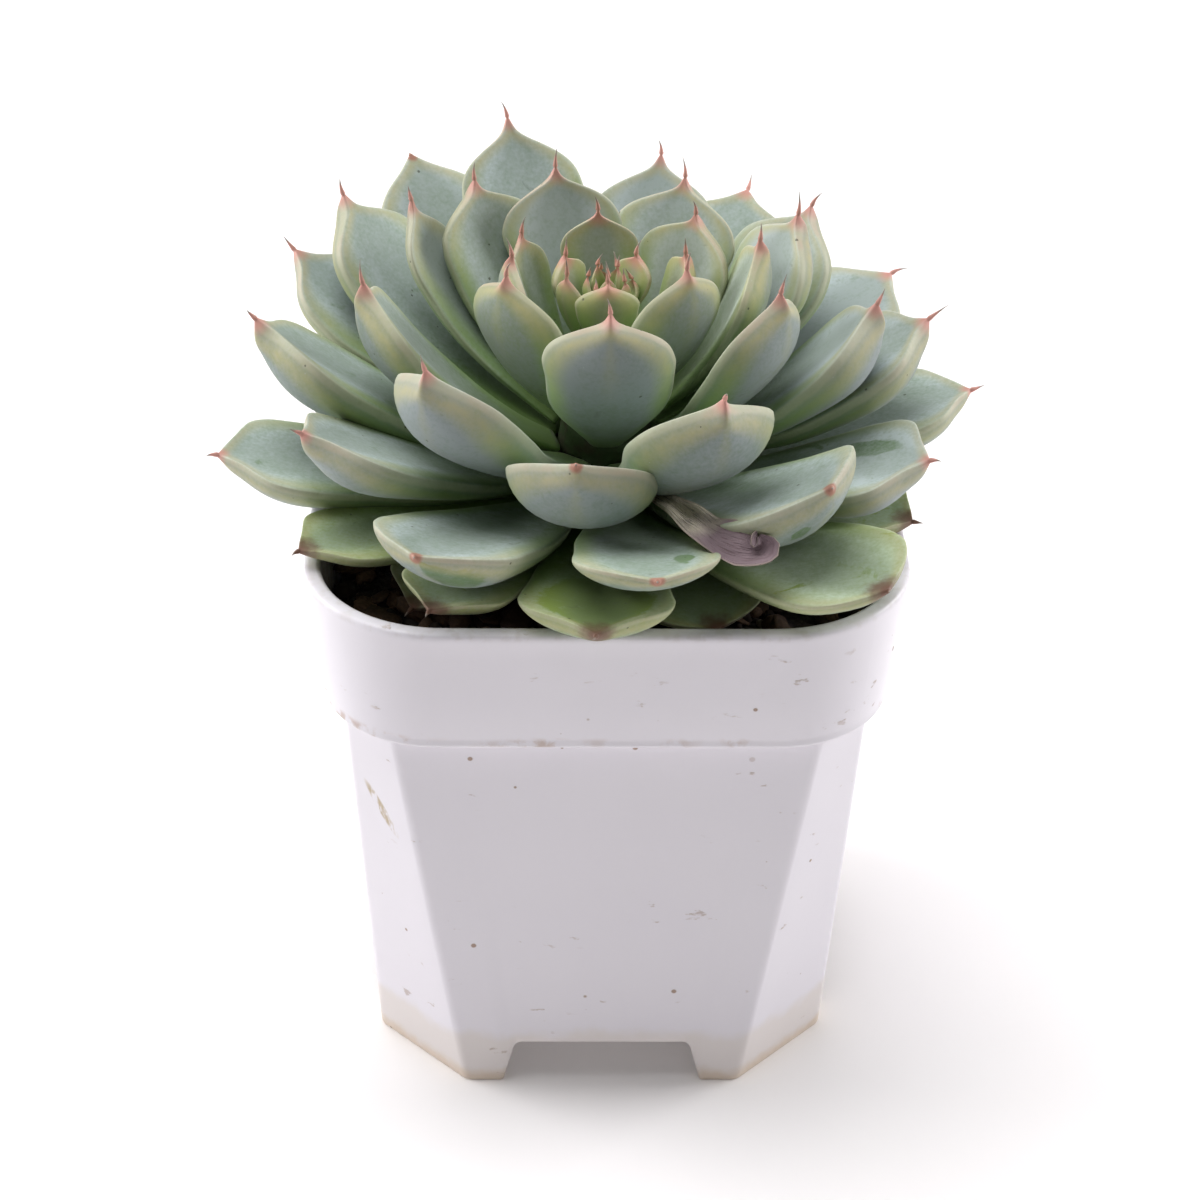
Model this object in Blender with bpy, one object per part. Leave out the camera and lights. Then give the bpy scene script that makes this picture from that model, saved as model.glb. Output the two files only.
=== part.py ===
"""Potted succulent: a rosette of thick, pointed leaves on a short stem, in a square plastic nursery pot.

Frame: metres, +Z up. The origin is the middle of the table area that the plant covers, on the table, which is
also the pot's axis. The pot's flat sides face X and Y. Each leaf is one closed body, named for its tier.
Sizes below are in millimetres and angles in degrees; azimuths count counter-clockwise from +X.
"""
import math

import bmesh
import bpy
import numpy as np
from mathutils.bvhtree import BVHTree

MM = 0.001
GAP = 0.3                    # clearance between pieces that touch

# Pot: a square cup with cut corners under a wide collar, standing on four feet.
POT_HEIGHT = 75.4
RIM_HALF = 37.5              # outer half-width at the rim
RIM_RADIUS = 17.8            # its corner radius
RIM_LIP = 2.2                # width of the flat lip
COLLAR_Z = 57.7              # lower edge of the collar
COLLAR_HALF = 35.4
COLLAR_RADIUS = 14.6
BODY_TOP_HALF = 32.7         # the body just under the collar
BODY_TOP_FLAT = 26.5         # half-length of its flat side, where the cut corner starts
BODY_FOOT_HALF = 30.0        # the body at the table
BODY_FOOT_FLAT = 18.1
BODY_EDGE_RADIUS = 2.0
WALL = 1.5
FOOT_HEIGHT = 6.6            # height of the gaps between the feet
FOOT_GAP_TOP = 12.2          # half-width of a gap at its top
FOOT_GAP_BOTTOM = 13.2       # and at the table
FOOT_WALL = 2.0              # wall thickness of the hollow feet
FLOOR = 1.8                  # thickness of the pot's floor
DRAIN_RADIUS = 4.0
DRAIN_RING = 15.0            # drain holes' distance from the axis

SOIL_TOP = 67.5
SOIL_CROWN = 1.0             # the soil stands this much higher in the middle

AXIS_Y = 4.0                 # the stem stands 4 mm behind the pot's axis
STEM_RADIUS = 6.0
STEM_BOTTOM = 48.0
STEM_TOP = 97.5
STEM_HEIGHTS = (STEM_BOTTOM, SOIL_TOP, 80.0, 86.0, 92.0, STEM_TOP)
STEM_RADII = (STEM_RADIUS - 1.0, STEM_RADIUS, STEM_RADIUS, 4.6, 3.0, 1.2)
ROUND_SIDES = 16             # sides of everything round

# How a leaf's shape follows from how far it has opened: the slope of the line from the rosette's foot to its
# point. Each column is one openness; the leaves in between are blended.
OPENNESS = (-12, 0, 15, 30, 45, 60, 70, 80)
FOOT_HEIGHT_ON_STEM = (71.5, 73.5, 76.0, 78.3, 80.8, 85.0, 90.5, 96.0)
SLOPE_AT_FOOT = (-12, -2, 9, 18, 30, 44, 56, 68)
SLOPE_AT_POINT = (-14, 8, 28, 60, 76, 86, 92, 96)
LEAF_WIDTH = (16.0, 18.5, 20.0, 17.8, 17.5, 15.2, 10.5, 5.5)
LEAF_THICKNESS = (3.0, 4.0, 5.6, 5.8, 5.2, 3.8, 2.6, 1.8)
WIDEST_AT = (0.80, 0.80, 0.79, 0.72, 0.71, 0.70, 0.68, 0.66)      # share of the length
SHARPNESS = (0.8, 0.8, 0.9, 1.5, 1.6, 1.6, 1.6, 1.6)              # the higher, the more drawn-out the point
OPENNESS_HEIGHT = 79.0       # height that the openness is measured from

# A leaf's cross-sections: shares of its length, and across it the five points of the upper face and the three
# of the lower one, as shares of the half-width.
STATIONS = np.array([0.0, 0.12, 0.28, 0.46, 0.62, 0.74, 0.83, 0.90, 0.96])
ACROSS = np.array([-1.0, -0.55, 0.0, 0.55, 1.0, 0.62, 0.0, -0.62])
UPPER_POINTS = 5
UPPER_SHARE = 0.24           # how much of the thickness lies above the midrib, and how much below it
LOWER_SHARE = 0.72
CUPPING = 0.16               # how far the margins rise, as a share of the half-width

# Each leaf's azimuth, its point's distance from the stem's axis and height above the table, and for a twisted
# leaf how far its point rolls, which lifts the edge on its counter-clockwise side.
LEAVES = {
    "skirt": [
        (215, 46, 78), (228, 36, 70), (241, 44, 77), (268, 47, 79), (291, 37, 72), (308, 53, 82, 12), (336, 42, 77),
        (118, 45, 80), (151, 45, 79),
    ],
    "outer": [
        (193, 50, 83), (213, 44, 93), (241, 47, 86), (276, 50, 88), (305, 45, 93, 16), (334, 44, 87, 6),
        (6, 48, 84, -8), (44, 45, 83), (76, 44, 85), (101, 43, 91), (134, 45, 87), (166, 41, 85),
    ],
    "broad": [
        (187, 44, 99, 12), (155, 45, 97), (151, 39, 105), (124, 47, 102), (109, 40, 108), (78, 38, 103),
        (64, 46, 96), (31, 45, 92), (2, 41, 96), (233, 36, 104), (290, 38, 104), (264, 39, 97), (349, 34, 102),
        (37, 34, 103),
    ],
    "middle": [
        (194, 31, 105), (153, 28, 107), (135, 24, 108), (109, 20, 109), (65, 25, 106),
        (326, 25, 107), (20, 26, 107), (270, 24, 109),
    ],
    "inner": [
        (223, 17, 108), (309, 15, 109), (146, 13, 105), (188, 12, 106), (96, 10, 107), (44, 16, 106), (357, 19, 108),
    ],
    "core": [(9, 10, 105), (42, 5, 104), (150, 6, 104), (224, 7, 105), (270, 7, 105)],
}
# The flesh pales and yellows from the old leaves at the soil to the young ones in the heart.
LEAF_COLOURS = {
    "skirt": (0.20, 0.29, 0.15), "outer": (0.27, 0.37, 0.28), "broad": (0.30, 0.40, 0.33),
    "middle": (0.33, 0.42, 0.35), "inner": (0.36, 0.43, 0.32), "core": (0.42, 0.44, 0.28),
}

SLIMMING = 0.02              # share of its width and thickness that a crowded leaf gives up at a time
SLIMMING_STEPS = 20
CLEARANCE_SHARE = 0.01       # and once more, so that neighbours never quite touch

# The dried leaf's middle line (azimuth, distance, height), its half-width there and how far its edges curl up.
DRIED_LEAF = [
    (291, 9.5, 75.2, 0.5, 0.2), (293, 17, 76.7, 0.6, 0.3), (294, 26, 78.1, 0.9, 0.5), (294, 33, 79.1, 1.4, 0.8),
    (296, 39, 80.6, 1.9, 1.2), (297, 43, 82.0, 0.8, 0.4),
]
DRIED_THICKNESS = 0.8


def clear_scene():
    """Remove whatever the scene holds."""
    for old in list(bpy.data.objects):
        bpy.data.objects.remove(old, do_unlink=True)


def make_material(name, colour, roughness, metallic=0.0):
    """A plain Principled finish."""
    material = bpy.data.materials.new(name)
    material.use_nodes = True
    shader = material.node_tree.nodes["Principled BSDF"]
    shader.inputs["Base Color"].default_value = (*colour, 1.0)
    shader.inputs["Roughness"].default_value = roughness
    shader.inputs["Metallic"].default_value = metallic
    return material


def add_mesh_object(name, points, faces, material, smooth_angle=40.0):
    """One object from points in millimetres and index faces, with its normals pointing out."""
    mesh = bpy.data.meshes.new(name)
    mesh.from_pydata((np.asarray(points) * MM).tolist(), [], faces)
    shape = bmesh.new()
    shape.from_mesh(mesh)
    bmesh.ops.recalc_face_normals(shape, faces=shape.faces)
    shape.to_mesh(mesh)
    shape.free()
    mesh.materials.append(material)
    mesh.shade_smooth()
    mesh.set_sharp_from_angle(angle=math.radians(smooth_angle))
    part = bpy.data.objects.new(name, mesh)
    bpy.context.scene.collection.objects.link(part)
    return part


def loft(rings):
    """Faces that join rings of equal count one after the other, with both ends capped."""
    count = len(rings[0])
    faces = [tuple(reversed(range(count)))]
    for low in range(0, (len(rings) - 1) * count, count):
        high = low + count
        for point in range(count):
            after = (point + 1) % count
            faces.append((low + point, low + after, high + after, high + point))
    faces.append(tuple(range((len(rings) - 1) * count, len(rings) * count)))
    return np.concatenate(rings), faces


def circle(x, y, z, radius):
    """A level ring of points."""
    angles = np.radians(np.arange(ROUND_SIDES) * 360 / ROUND_SIDES)
    return np.column_stack([x + radius * np.cos(angles), y + radius * np.sin(angles), np.full(ROUND_SIDES, z)])


def section(half, flat, radius, z, steps=3):
    """A square section with cut corners: eight vertices, each rounded by an arc of 45 degrees."""
    points = []
    for corner in range(4):
        for near, (x, y) in ((0, (half, flat)), (1, (flat, half))):
            start = corner * 90 + near * 45
            turn = math.radians(corner * 90)
            vertex = complex(x, y) * complex(math.cos(turn), math.sin(turn))
            middle = math.radians(start + 22.5)
            reach = radius / math.cos(math.radians(22.5))
            centre = vertex - reach * complex(math.cos(middle), math.sin(middle))
            for step in range(steps + 1):
                angle = math.radians(start + 45 * step / steps)
                spot = centre + radius * complex(math.cos(angle), math.sin(angle))
                points.append((spot.real, spot.imag, z))
    return np.array(points)


def round_section(half, radius, z):
    """A square section with fully round corners, as the same count of points."""
    side = half - radius * (2 - math.sqrt(2))
    return section(half, side, radius * 0.999, z)


def body_section(inset, z):
    """The pot body's section at a height, pulled in by an inset."""
    part = z / COLLAR_Z
    half = BODY_FOOT_HALF + (BODY_TOP_HALF - BODY_FOOT_HALF) * part
    flat = BODY_FOOT_FLAT + (BODY_TOP_FLAT - BODY_FOOT_FLAT) * part
    lost = inset * math.tan(math.radians(22.5))
    return section(half - inset, flat - lost, max(BODY_EDGE_RADIUS - inset, 0.6), z)


def cutter(name, points, faces):
    """A closed body that only cuts others."""
    tool = add_mesh_object(name, points, faces, bpy.data.materials["pot_plastic"])
    tool.hide_render = True
    tool.display_type = "WIRE"
    return tool


def cut(part, tool):
    """Take a cutter away from a part."""
    modifier = part.modifiers.new("cut_" + tool.name, "BOOLEAN")
    modifier.operation = "DIFFERENCE"
    modifier.solver = "EXACT"
    modifier.object = tool


def foot_gap_cutter(name, turned):
    """A bar of trapezoid section that runs right through under the floor, along Y or X."""
    outline = [
        (-FOOT_GAP_BOTTOM, -1.0), (FOOT_GAP_BOTTOM, -1.0), (FOOT_GAP_TOP + 0.3, FOOT_HEIGHT - 1.0),
        (FOOT_GAP_TOP - 0.7, FOOT_HEIGHT), (-FOOT_GAP_TOP + 0.7, FOOT_HEIGHT), (-FOOT_GAP_TOP - 0.3, FOOT_HEIGHT - 1.0),
    ]
    rings = []
    for end in (-40.0, 40.0):
        if turned:
            rings.append(np.array([(end, x, z) for x, z in outline]))
        else:
            rings.append(np.array([(x, end, z) for x, z in outline]))
    return cutter(name, *loft(rings))


def drain_cutter(name, x, y):
    """A round hole through the floor."""
    rings = [circle(x, y, z, DRAIN_RADIUS) for z in (FOOT_HEIGHT - 2.0, FOOT_HEIGHT + FLOOR + 2.0)]
    return cutter(name, *loft(rings))


def make_pot():
    """The pot: one moulded wall, turned over at the collar, with a raised floor and four feet."""
    plastic = make_material("pot_plastic", (0.80, 0.79, 0.82), 0.32)
    floor_top = FOOT_HEIGHT + FLOOR
    step = COLLAR_Z + 0.6
    outside = [
        body_section(0.0, 0.0),
        body_section(0.0, 20.0),
        body_section(0.0, 40.0),
        body_section(0.0, COLLAR_Z - 1.5),
        body_section(0.0, COLLAR_Z + 0.2),
        round_section(COLLAR_HALF - 0.5, COLLAR_RADIUS - 0.4, COLLAR_Z),
        round_section(COLLAR_HALF, COLLAR_RADIUS, COLLAR_Z + 0.8),
        round_section((COLLAR_HALF + RIM_HALF) / 2, (COLLAR_RADIUS + RIM_RADIUS) / 2, (COLLAR_Z + POT_HEIGHT) / 2),
        round_section(RIM_HALF, RIM_RADIUS, POT_HEIGHT - 0.5),
        round_section(RIM_HALF - 0.4, RIM_RADIUS - 0.3, POT_HEIGHT),
    ]
    inside = [
        round_section(RIM_HALF - RIM_LIP + 0.3, RIM_RADIUS - RIM_LIP + 0.3, POT_HEIGHT),
        round_section(RIM_HALF - RIM_LIP, RIM_RADIUS - RIM_LIP, POT_HEIGHT - 0.5),
        round_section(COLLAR_HALF - WALL, COLLAR_RADIUS - WALL, step + WALL),
        body_section(WALL, step),
        body_section(WALL, 40.0),
        body_section(WALL, floor_top + 1.0),
        body_section(WALL + 1.0, floor_top),
    ]
    under = [
        body_section(FOOT_WALL, -1.0),
        body_section(FOOT_WALL, FOOT_HEIGHT - 0.8),
        body_section(FOOT_WALL + 2.0, FOOT_HEIGHT),
    ]
    cup_points, cup_faces = loft(outside + inside)
    cup = add_mesh_object("pot", cup_points, cup_faces, plastic)
    cut(cup, cutter("under_floor", *loft(under)))
    cut(cup, foot_gap_cutter("foot_gap_along_y", False))
    cut(cup, foot_gap_cutter("foot_gap_along_x", True))
    cut(cup, drain_cutter("drain_middle", 0.0, 0.0))
    for index in range(4):
        turn = math.radians(45 + 90 * index)
        cut(cup, drain_cutter("drain_%d" % index, DRAIN_RING * math.cos(turn), DRAIN_RING * math.sin(turn)))
    return cup


def make_soil():
    """The soil fills the cup to just below the collar's lip, with a socket for the stem."""
    earth = make_material("soil_mix", (0.06, 0.04, 0.03), 0.95)
    bottom = FOOT_HEIGHT + FLOOR + GAP
    inset = WALL + GAP + 0.1
    rings = [
        body_section(inset + 1.2, bottom),
        body_section(inset, bottom + 1.4),
        body_section(inset, 40.0),
        body_section(inset, COLLAR_Z - 0.5),
        round_section(COLLAR_HALF - 3.2, COLLAR_RADIUS - 2.4, COLLAR_Z + 3.0),
        round_section(COLLAR_HALF - 2.2, COLLAR_RADIUS - 1.6, SOIL_TOP - 1.0),
        round_section(COLLAR_HALF - 3.0, COLLAR_RADIUS - 1.6, SOIL_TOP),
        round_section(22.0, 12.0, SOIL_TOP + SOIL_CROWN * 0.7),
        round_section(9.0, 6.0, SOIL_TOP + SOIL_CROWN),
    ]
    soil = add_mesh_object("soil", *loft(rings), earth)
    socket = [
        circle(0.0, AXIS_Y, STEM_BOTTOM - GAP, stem_radius(STEM_BOTTOM) + GAP),
        circle(0.0, AXIS_Y, SOIL_TOP + 8.0, STEM_RADIUS + GAP),
    ]
    cut(soil, cutter("stem_socket", *loft(socket)))
    return soil


def make_stem():
    """The short upright stem that all the leaves grow from."""
    bark = make_material("stem_bark", (0.30, 0.27, 0.16), 0.8)
    rings = [circle(0.0, AXIS_Y, z, stem_radius(z)) for z in STEM_HEIGHTS]
    return add_mesh_object("stem", *loft(rings), bark)


def stem_radius(z):
    """The stem's radius at a height, where a leaf joins it."""
    return float(np.interp(z, STEM_HEIGHTS, STEM_RADII))


def midrib(foot, point, start, end, where):
    """Points and upward normals along a cubic curve in the leaf's own upright plane."""
    chord = point - foot
    length = np.hypot(*chord)
    a = foot + 0.36 * length * np.array([math.cos(start), math.sin(start)])
    b = point - 0.30 * length * np.array([math.cos(end), math.sin(end)])
    t = where[:, None]
    curve = foot * (1 - t) ** 3 + 3 * a * t * (1 - t) ** 2 + 3 * b * t**2 * (1 - t) + point * t**3
    slope = 3 * (a - foot) * (1 - t) ** 2 + 6 * (b - a) * t * (1 - t) + 3 * (point - b) * t**2
    slope /= np.linalg.norm(slope, axis=1)[:, None]
    return curve, np.stack([-slope[:, 1], slope[:, 0]], axis=1)


def blade_width(where, widest, sharpness):
    """Half-width along the blade as a share of the largest: a narrow foot, broad shoulders, a drawn-out point."""
    rise = 0.16 + 0.84 * np.sin(0.5 * np.pi * np.clip(where / widest, 0, 1)) ** 1.15
    fall = np.clip((where - widest) / (1 - widest), 0, 1)
    return rise * (1 - fall**2.6) ** sharpness


def blade(fullness, azimuth, reach, height, roll=0.0):
    """A leaf: sections across the midrib, hollowed above and keeled below, closed by its point."""
    openness = math.degrees(math.atan2(height - OPENNESS_HEIGHT, reach))
    foot_height = np.interp(openness, OPENNESS, FOOT_HEIGHT_ON_STEM)
    start = math.radians(np.interp(openness, OPENNESS, SLOPE_AT_FOOT))
    end = math.radians(np.interp(openness, OPENNESS, SLOPE_AT_POINT))
    width = np.interp(openness, OPENNESS, LEAF_WIDTH) * fullness
    thickness = np.interp(openness, OPENNESS, LEAF_THICKNESS) * fullness
    foot = np.array([stem_radius(foot_height) + GAP + 0.4, foot_height])
    point = np.array([float(reach), float(height)])
    where = np.append(STATIONS, 1.0)
    curve, normal = midrib(foot, point, start, end, where)
    widest = np.interp(openness, OPENNESS, WIDEST_AT)
    half = blade_width(STATIONS, widest, np.interp(openness, OPENNESS, SHARPNESS)) * width / 2
    body = thickness * (0.34 + 0.66 * np.sin(np.pi * STATIONS**1.4)) * (1 - 0.3 * STATIONS**6)
    turn = math.radians(azimuth)
    out = np.array([math.cos(turn), math.sin(turn), 0.0])
    side = np.array([-math.sin(turn), math.cos(turn), 0.0])
    rings = []
    for index, w in enumerate(half):
        share = np.where(np.arange(len(ACROSS)) < UPPER_POINTS, UPPER_SHARE, -LOWER_SHARE)
        lift = share * body[index] * (1 - np.abs(ACROSS) ** 2.2)
        cup = CUPPING * w * ACROSS**2 * (0.4 + 0.6 * STATIONS[index])
        upward = normal[index][0] * out + normal[index][1] * np.array([0.0, 0.0, 1.0])
        lean = math.radians(roll) * STATIONS[index]
        sideways = math.cos(lean) * side + math.sin(lean) * upward
        upward = math.cos(lean) * upward - math.sin(lean) * side
        middle = curve[index][0] * out + np.array([0.0, AXIS_Y, curve[index][1]])
        rings.append(middle + (ACROSS * w)[:, None] * sideways + (lift + cup)[:, None] * upward)
    points, faces = loft(rings)
    faces.pop()
    tip = curve[-1][0] * out + np.array([0.0, AXIS_Y, curve[-1][1]])
    points = np.vstack([points, [tip]])
    count = len(ACROSS)
    last = (len(rings) - 1) * count
    for step in range(count):
        faces.append((last + step, last + (step + 1) % count, len(points) - 1))
    return points, faces


def surface_tree(points, faces):
    """A search tree over a closed surface, to see whether two pieces meet."""
    return BVHTree.FromPolygons(np.asarray(points).tolist(), faces)


def make_leaves():
    """All the leaves from the heart outwards; a leaf that meets one already placed has grown slimmer."""
    placed = []
    rows = [(tier, number, row) for tier in LEAVES for number, row in enumerate(LEAVES[tier], start=1)]
    for tier, number, row in reversed(rows):
        for step in range(SLIMMING_STEPS + 1):
            fullness = 1.0 - SLIMMING * step
            points, faces = blade(fullness, *row)
            tree = surface_tree(points, faces)
            if not any(tree.overlap(other) for other in placed):
                break
        placed.append(tree)
        points, faces = blade(fullness - CLEARANCE_SHARE, *row)
        flesh = bpy.data.materials.get(tier + "_leaf_flesh")
        if flesh is None:
            flesh = make_material(tier + "_leaf_flesh", LEAF_COLOURS[tier], 0.6)
        add_mesh_object("leaf_%s_%02d" % (tier, number), points, faces, flesh, 60.0)


def make_heart():
    """The growing point: the unopened leaves, still closed into one bud with six points."""
    flesh = make_material("heart_flesh", (0.42, 0.42, 0.26), 0.6)
    angles = np.radians(np.arange(0, 360, 30))
    rings = []
    for z, radius, point in ((0.3, 1.0, 0.0), (2.0, 1.8, 0.1), (4.0, 2.4, 0.2), (5.4, 2.3, 0.5), (6.4, 1.5, 1.0)):
        wave = np.cos(6 * angles)
        reach = radius * (1 + 0.12 * wave)
        height = STEM_TOP + z + point * wave * 0.6
        rings.append(np.column_stack([reach * np.cos(angles), AXIS_Y + reach * np.sin(angles), height]))
    return add_mesh_object("heart_bud", *loft(rings), flesh, 60.0)


def make_dried_leaf():
    """One old leaf, dried to a thin trough that lies between the live ones and ends beyond the rim."""
    paper = make_material("dried_leaf_skin", (0.45, 0.36, 0.34), 0.75)
    rings = []
    for azimuth, reach, height, half, hollow in DRIED_LEAF:
        turn = math.radians(azimuth)
        middle = np.array([reach * math.cos(turn), AXIS_Y + reach * math.sin(turn), height])
        side = np.array([-math.sin(turn), math.cos(turn), 0.0])
        ring = []
        for across in (-1.0, -0.5, 0.0, 0.5, 1.0):
            ring.append(middle + across * half * side + [0.0, 0.0, hollow * across**2])
        for across in (0.9, 0.45, 0.0, -0.45, -0.9):
            ring.append(middle + across * half * side + [0.0, 0.0, hollow * across**2 - DRIED_THICKNESS])
        rings.append(np.array(ring))
    return add_mesh_object("dried_leaf", *loft(rings), paper, 60.0)


clear_scene()
make_pot()
make_soil()
make_stem()
make_leaves()
make_heart()
make_dried_leaf()
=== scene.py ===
"""A small rosette succulent in a square plastic nursery pot: its looks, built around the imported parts."""
import math

import bmesh
import bpy
import numpy as np
from mathutils import Matrix, Vector


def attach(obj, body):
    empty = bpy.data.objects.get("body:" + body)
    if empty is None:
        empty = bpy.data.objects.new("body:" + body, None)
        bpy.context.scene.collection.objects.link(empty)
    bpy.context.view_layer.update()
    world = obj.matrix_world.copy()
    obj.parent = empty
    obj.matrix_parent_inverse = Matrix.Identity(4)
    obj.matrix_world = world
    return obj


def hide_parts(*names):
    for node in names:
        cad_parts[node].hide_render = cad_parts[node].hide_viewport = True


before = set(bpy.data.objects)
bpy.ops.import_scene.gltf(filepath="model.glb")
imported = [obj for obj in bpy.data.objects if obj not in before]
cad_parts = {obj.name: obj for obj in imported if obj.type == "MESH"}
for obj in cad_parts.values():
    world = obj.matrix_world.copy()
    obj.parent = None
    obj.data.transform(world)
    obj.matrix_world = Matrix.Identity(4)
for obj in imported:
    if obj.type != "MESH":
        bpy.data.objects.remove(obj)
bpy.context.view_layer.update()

# --------------------------------------------------------------------------------------------------
# The pot: one piece of injection-moulded white plastic, a square cup with cut corners under a wide collar
# with round ones. It stands on four hollow feet, with five drain holes in the raised floor. Sizes are in
# millimetres, here and in every section but the last.
MM = 0.001
collar_z, collar_half, collar_radius = 57.7, 35.4, 14.6
rim_z, rim_half, rim_radius = 75.4, 37.5, 17.8
table_half, table_flat = 30.0, 18.1
under_collar_half, under_collar_flat = 32.7, 26.5
corner_radius = 2.0
corner_reach = corner_radius * math.tan(math.pi / 8)
gap_height, gap_half_top, gap_half_table = 6.6, 12.2, 13.2
floor_low, floor_high = 7.1, 8.4
drain_radius, drain_distance, drain_low, drain_high = 4.0, 15.0, 5.5, 9.5


def foot_path():
    """Half a side's lower edge: level over the gap, round its corner, down the slanted foot, then level."""
    turn = np.radians(np.linspace(0, 80, 7))
    bend = 0.9
    across = [np.linspace(0, gap_half_top - 1.1, 9), gap_half_top - 0.85 + bend * np.sin(turn)]
    height = [np.full(9, gap_height), gap_height - bend + bend * np.cos(turn)]
    across += [np.linspace(gap_half_top + 0.15, gap_half_table - 0.06, 6)]
    across += [gap_half_table + np.array([0.08, 0.3, 0.6])]
    height += [np.linspace(gap_height - 1.1, 0.3, 6), np.array([0.08, 0.0, 0.0])]
    across.append(np.linspace(gap_half_table + 1.2, table_flat - corner_reach, 6))
    height.append(np.zeros(6))
    return np.concatenate(across), np.concatenate(height)


edge_x, edge_z = foot_path()
flat_grows = (under_collar_flat - table_flat) / collar_z
edge_share = edge_x / (table_flat + flat_grows * edge_z - corner_reach)
flat_share = np.concatenate([-edge_share[:0:-1], edge_share])
flat_edge = np.concatenate([edge_z[:0:-1], edge_z])
arc_turn = np.radians(np.linspace(0, 45, 12)[1:])
chamfer_share = np.linspace(0, 1, 12)[1:]
one_side = len(flat_share) + 2 * len(arc_turn) + len(chamfer_share)
low_edge = np.tile(np.concatenate([flat_edge, np.zeros(one_side - len(flat_edge))]), 4)


def cup_ring(half, flat, radius):
    """A square with cut corners: eight straight sides joined by eight arcs of 45 degrees, as one ring."""
    reach = radius * math.tan(math.pi / 8)
    side = half + 1j * flat_share * (flat - reach)
    arc = radius * np.exp(1j * arc_turn)
    first = (half - radius) + 1j * (flat - reach) + arc
    start = complex(half, flat) + reach * np.exp(0.75j * np.pi)
    end = complex(flat, half) - reach * np.exp(0.75j * np.pi)
    chamfer = start + (end - start) * chamfer_share
    second = (flat - reach) + 1j * (half - radius) + arc * np.exp(0.25j * np.pi)
    quarter = np.concatenate([side, first, chamfer, second])
    return (quarter[None, :] * (1j ** np.arange(4))[:, None]).ravel()


def body_ring(inset, z):
    """The pot body's outline at a height, less an inset: it widens evenly from the table to the collar."""
    part = np.mean(z) / collar_z
    half = table_half + (under_collar_half - table_half) * part
    flat = table_flat + (under_collar_flat - table_flat) * part
    return cup_ring(half - inset, flat - inset * math.tan(math.pi / 8), max(corner_radius - inset, 0.5))


def round_ring(half, radius):
    """The same ring with the cut corners grown into full round ones, as at the collar."""
    return cup_ring(half, half - radius * (2 - math.sqrt(2)), radius * 0.9995)


def at_height(ring, z):
    """A ring of complex numbers set at a height, or at a height of its own for each column."""
    return np.column_stack([ring.real, ring.imag, np.broadcast_to(z, ring.shape)])


def pot_rows():
    """Rings from under the middle of the floor, down inside the feet, up the wall, over the rim and in."""
    rows = [at_height(body_ring(2.0, 0) * share, floor_low) for share in (0.03, 0.3, 0.6, 0.9, 0.97)]
    rows += [at_height(body_ring(2.0, 0), floor_low - 0.15)]
    for inset, rise in ((2.0, 0.4), (1.85, 0.1), (1.6, 0.0), (0.4, 0.0), (0.12, 0.1), (0.0, 0.4)):
        rows.append(at_height(body_ring(inset, 0), low_edge + rise * np.where(low_edge > 6, 0.6, 1)))
    for level in (2, 4, 7, 10, 14, 20, 27, 34, 41, 48, 54, 56.8):
        z = low_edge + 0.4 + (level - 0.4) * (collar_z - low_edge - 0.4) / (collar_z - 0.4)
        rows.append(at_height(body_ring(0.0, level), z))
    rows.append(at_height(body_ring(-0.1, collar_z), collar_z - 0.15))
    rows.append(at_height(round_ring(collar_half - 1.6, collar_radius - 1.5), collar_z))
    for half, z in ((-0.5, 0.0), (-0.2, 0.08), (-0.04, 0.3), (0.0, 0.6), (-0.08, 1.0), (0.0, 1.5)):
        rows.append(at_height(round_ring(collar_half + half, collar_radius + half), collar_z + z))
    for share in (0.2, 0.4, 0.6, 0.8, 0.93):
        half = collar_half + (rim_half - collar_half) * share
        radius = collar_radius + (rim_radius - collar_radius) * share
        rows.append(at_height(round_ring(half, radius), collar_z + (rim_z - collar_z) * share))
    lip = [(0.0, -0.7), (-0.1, -0.3), (-0.35, -0.06), (-0.7, 0.0)]
    lip += [(-1.5, 0.0), (-1.9, -0.1), (-2.15, -0.4), (-2.2, -1)]
    for half, z in lip:
        rows.append(at_height(round_ring(rim_half + half, rim_radius + half), rim_z + z))
    rows.append(at_height(round_ring(34.6, 15.4), 67.0))
    rows.append(at_height(round_ring(33.9, 13.1), collar_z + 2.0))
    for inset, z in ((1.5, 57.5), (1.5, 30.0), (1.5, 10.0), (1.9, 8.8), (2.6, floor_high)):
        rows.append(at_height(body_ring(inset, z), z))
    rows += [at_height(body_ring(2.6, floor_high) * share, floor_high) for share in (0.6, 0.3, 0.03)]
    inner = np.zeros((len(rows), len(low_edge)))
    inner[-13:] = 1.0
    return np.array(rows), {"inner": inner}


def skin_faces(rows, columns):
    """Faces of a tube: each quad joins neighbouring rows and columns, and the columns wrap round. A fan
    closes each end to one more point; these two are the mesh's last."""
    index = np.arange(rows * columns).reshape(rows, columns)
    after = np.roll(index, -1, axis=1)
    quads = np.stack([index[:-1], after[:-1], after[1:], index[1:]], axis=-1).reshape(-1, 4)
    first, last = rows * columns, rows * columns + 1
    start = np.column_stack([after[0], index[0], np.full(columns, first)])
    end = np.column_stack([index[-1], after[-1], np.full(columns, last)])
    return quads, np.vstack([start, end])


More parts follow.
